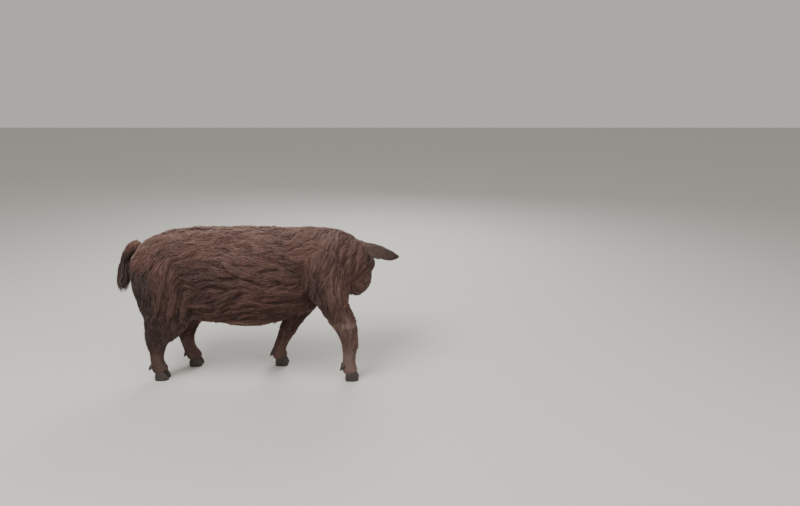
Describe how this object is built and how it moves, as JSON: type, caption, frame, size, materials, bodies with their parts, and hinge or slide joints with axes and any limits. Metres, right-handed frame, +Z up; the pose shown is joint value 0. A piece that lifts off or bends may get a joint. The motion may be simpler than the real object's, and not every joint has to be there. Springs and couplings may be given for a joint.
{
  "type": "mangalica pig",
  "caption": "Curly-coated sow standing in a walking stance, head turned to her left and near ear out to the side, life size and still.",
  "frame": {"origin": "middle of the bounding box, on the floor under the soles", "axes": "+X from rump to breast, +Y to the left flank, +Z up"},
  "size_m": [1.4028, 0.5902, 0.778],
  "materials": {
    "coat": "matt curly hair, reddish brown with greyer crests",
    "ear_skin": "matt, thinly haired skin",
    "nose_skin": "moist dark skin",
    "eye": "wet and glossy",
    "hoof_horn": "dull dark horn"
  },
  "bodies": {
    "root": {"hindleg_right": "coat", "hindleg_left": "coat", "foreleg_right": "coat", "foreleg_left": "coat", "torso": "coat", "head": "coat", "neck": "coat", "tail": "coat", "ear_left": "ear_skin", "ear_right": "ear_skin", "eye_left": "eye", "eye_right": "eye", "nose_disc": "nose_skin", "hindleg_right_dewclaw_left": "hoof_horn", "hindleg_right_hoof_left": "hoof_horn", "hindleg_right_dewclaw_right": "hoof_horn", "hindleg_right_hoof_right": "hoof_horn", "hindleg_left_dewclaw_left": "hoof_horn", "hindleg_left_hoof_left": "hoof_horn", "hindleg_left_dewclaw_right": "hoof_horn", "hindleg_left_hoof_right": "hoof_horn", "foreleg_right_dewclaw_left": "hoof_horn", "foreleg_right_hoof_left": "hoof_horn", "foreleg_right_dewclaw_right": "hoof_horn", "foreleg_right_hoof_right": "hoof_horn", "foreleg_left_dewclaw_left": "hoof_horn", "foreleg_left_hoof_left": "hoof_horn", "foreleg_left_dewclaw_right": "hoof_horn", "foreleg_left_hoof_right": "hoof_horn"}
  },
  "joints": []
}
